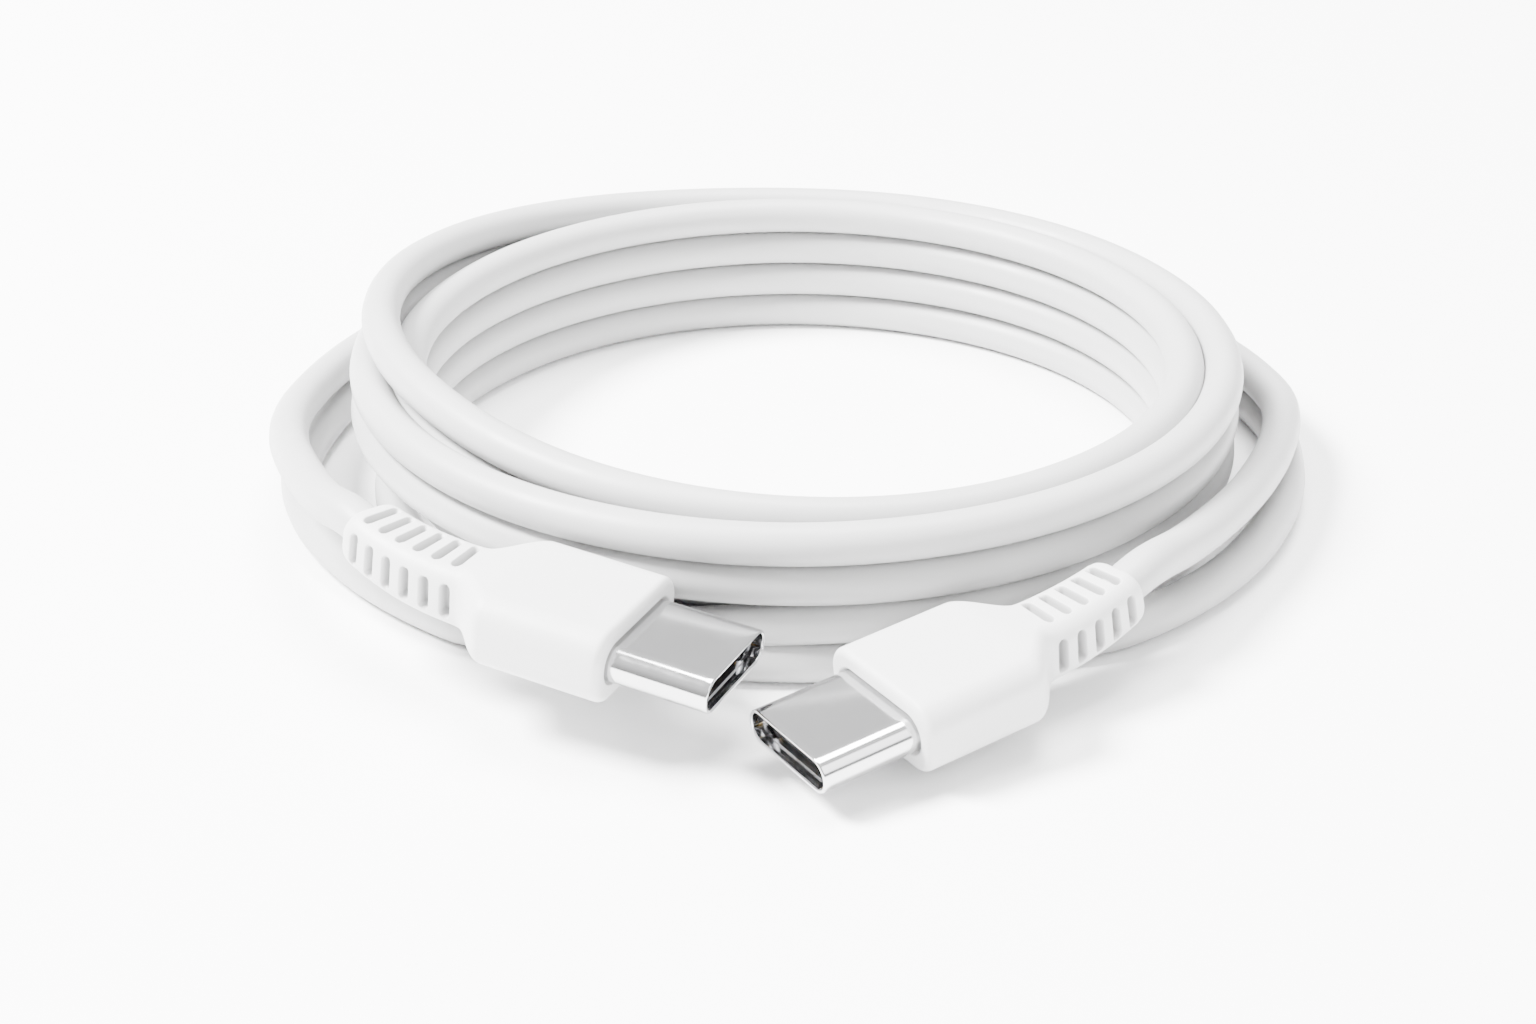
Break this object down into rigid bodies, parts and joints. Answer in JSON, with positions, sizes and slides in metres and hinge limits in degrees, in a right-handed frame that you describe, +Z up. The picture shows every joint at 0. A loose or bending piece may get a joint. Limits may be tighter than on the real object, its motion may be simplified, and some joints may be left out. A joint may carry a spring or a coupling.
{
  "type": "charging cable",
  "caption": "White phone charging cable with a reversible oval plug on each end, wound into a flat ring of turns, its strain reliefs slotted.",
  "frame": {"origin": "on the surface the cable lies on, under the middle of the whole object", "axes": "+Y from the plugs across the ring of turns (the longest extent), +Z up (the shortest), +X across"},
  "size_m": [0.078, 0.086, 0.0122],
  "materials": {
    "plug_white": "satin moulded",
    "relief_white": "satin, flexible",
    "cord_white": "satin, flexible",
    "shell_steel": "polished drawn steel",
    "insulator_black": "matt moulded",
    "contact_gold": "gold plated",
    "spring_steel": "satin",
    "board_green": "solder mask",
    "chip_black": "matt",
    "passives_grey": "matt",
    "solder": "bright",
    "shield_tin": "tinned",
    "inner_plastic": "matt moulded",
    "wire_red": "satin",
    "wire_black": "satin",
    "wire_blue": "satin",
    "wire_green": "satin",
    "wire_white": "satin"
  },
  "bodies": {
    "cord": {"coil_stack": "cord_white", "loose_turns": "cord_white", "left_lead": "cord_white", "right_lead": "cord_white", "left_floor_turn": "cord_white", "right_floor_turn": "cord_white", "left_cord_stub": "cord_white", "right_cord_stub": "cord_white"},
    "left_plug": {"left_plug_shell": "shell_steel", "left_insulator": "insulator_black", "left_contact_tails_upper": "contact_gold", "left_contact_tails_lower": "contact_gold", "left_ground_springs": "spring_steel", "left_circuit_board": "board_green", "left_control_chip": "chip_black", "left_board_passives": "passives_grey", "left_solder_joints": "solder", "left_shield_upper": "shield_tin", "left_shield_lower": "shield_tin", "left_jacket_end": "cord_white", "left_crimp_ferrule": "shield_tin", "left_power_wire": "wire_red", "left_ground_wire": "wire_black", "left_control_wire": "wire_blue", "left_data_wire_positive": "wire_green", "left_data_wire_negative": "wire_white", "left_inner_mould": "inner_plastic", "left_plug_body": "plug_white", "left_strain_relief": "relief_white"},
    "left_latch_a": {"left_latch_arm_a": "spring_steel"},
    "left_latch_b": {"left_latch_arm_b": "spring_steel"},
    "left_contact_row_upper": {"left_contacts_upper": "contact_gold"},
    "left_contact_row_lower": {"left_contacts_lower": "contact_gold"},
    "right_plug": {"right_plug_shell": "shell_steel", "right_insulator": "insulator_black", "right_contact_tails_upper": "contact_gold", "right_contact_tails_lower": "contact_gold", "right_ground_springs": "spring_steel", "right_circuit_board": "board_green", "right_control_chip": "chip_black", "right_board_passives": "passives_grey", "right_solder_joints": "solder", "right_shield_upper": "shield_tin", "right_shield_lower": "shield_tin", "right_jacket_end": "cord_white", "right_crimp_ferrule": "shield_tin", "right_power_wire": "wire_red", "right_ground_wire": "wire_black", "right_control_wire": "wire_blue", "right_data_wire_positive": "wire_green", "right_data_wire_negative": "wire_white", "right_inner_mould": "inner_plastic", "right_plug_body": "plug_white", "right_strain_relief": "relief_white"},
    "right_latch_a": {"right_latch_arm_a": "spring_steel"},
    "right_latch_b": {"right_latch_arm_b": "spring_steel"},
    "right_contact_row_upper": {"right_contacts_upper": "contact_gold"},
    "right_contact_row_lower": {"right_contacts_lower": "contact_gold"}
  },
  "joints": [
    {"name": "left_plug_bend", "type": "hinge", "parent": "cord", "child": "left_plug", "pos_m": [-0.02419, -0.02613, 0.0078], "axis": [-0.4047, -0.909, -0.0995], "range_deg": [0, 20], "stiffness_Nm_per_rad": 0.01, "deforming": ["left_strain_relief", "left_cord_stub"]},
    {"name": "left_latch_a_spread", "type": "hinge", "parent": "left_plug", "child": "left_latch_a", "pos_m": [-0.0075, -0.02985, 0.00633], "axis": [0.0796, -0.0354, 0.9962], "range_deg": [0, 1.8], "stiffness_Nm_per_rad": 0.002},
    {"name": "left_latch_b_spread", "type": "hinge", "parent": "left_plug", "child": "left_latch_b", "pos_m": [-0.01026, -0.03605, 0.00633], "axis": [-0.0796, 0.0354, -0.9962], "range_deg": [0, 1.8], "stiffness_Nm_per_rad": 0.002},
    {"name": "left_upper_contacts_lift", "type": "hinge", "parent": "left_plug", "child": "left_contact_row_upper", "pos_m": [-0.00894, -0.03292, 0.00676], "axis": [-0.4067, -0.9135, 0], "range_deg": [0, 1.8], "stiffness_Nm_per_rad": 0.002},
    {"name": "left_lower_contacts_lift", "type": "hinge", "parent": "left_plug", "child": "left_contact_row_lower", "pos_m": [-0.00901, -0.03289, 0.00592], "axis": [0.4067, 0.9135, 0], "range_deg": [0, 1.8], "stiffness_Nm_per_rad": 0.002},
    {"name": "right_plug_bend", "type": "hinge", "parent": "cord", "child": "right_plug", "pos_m": [0.0182, -0.02748, 0.00493], "axis": [-0.5419, 0.8345, 0.0995], "range_deg": [0, 20], "stiffness_Nm_per_rad": 0.01, "deforming": ["right_strain_relief", "right_cord_stub"]},
    {"name": "right_latch_a_spread", "type": "hinge", "parent": "right_plug", "child": "right_latch_a", "pos_m": [0.00661, -0.03906, 0.00338], "axis": [-0.0804, -0.0522, 0.9954], "range_deg": [0, 1.8], "stiffness_Nm_per_rad": 0.002},
    {"name": "right_latch_b_spread", "type": "hinge", "parent": "right_plug", "child": "right_latch_b", "pos_m": [0.00291, -0.03337, 0.00338], "axis": [0.0804, 0.0522, -0.9954], "range_deg": [0, 1.8], "stiffness_Nm_per_rad": 0.002},
    {"name": "right_upper_contacts_lift", "type": "hinge", "parent": "right_plug", "child": "right_contact_row_upper", "pos_m": [0.00481, -0.03618, 0.00381], "axis": [-0.5446, 0.8387, 0], "range_deg": [0, 1.8], "stiffness_Nm_per_rad": 0.002},
    {"name": "right_lower_contacts_lift", "type": "hinge", "parent": "right_plug", "child": "right_contact_row_lower", "pos_m": [0.00488, -0.03614, 0.00298], "axis": [0.5446, -0.8387, 0], "range_deg": [0, 1.8], "stiffness_Nm_per_rad": 0.002}
  ]
}
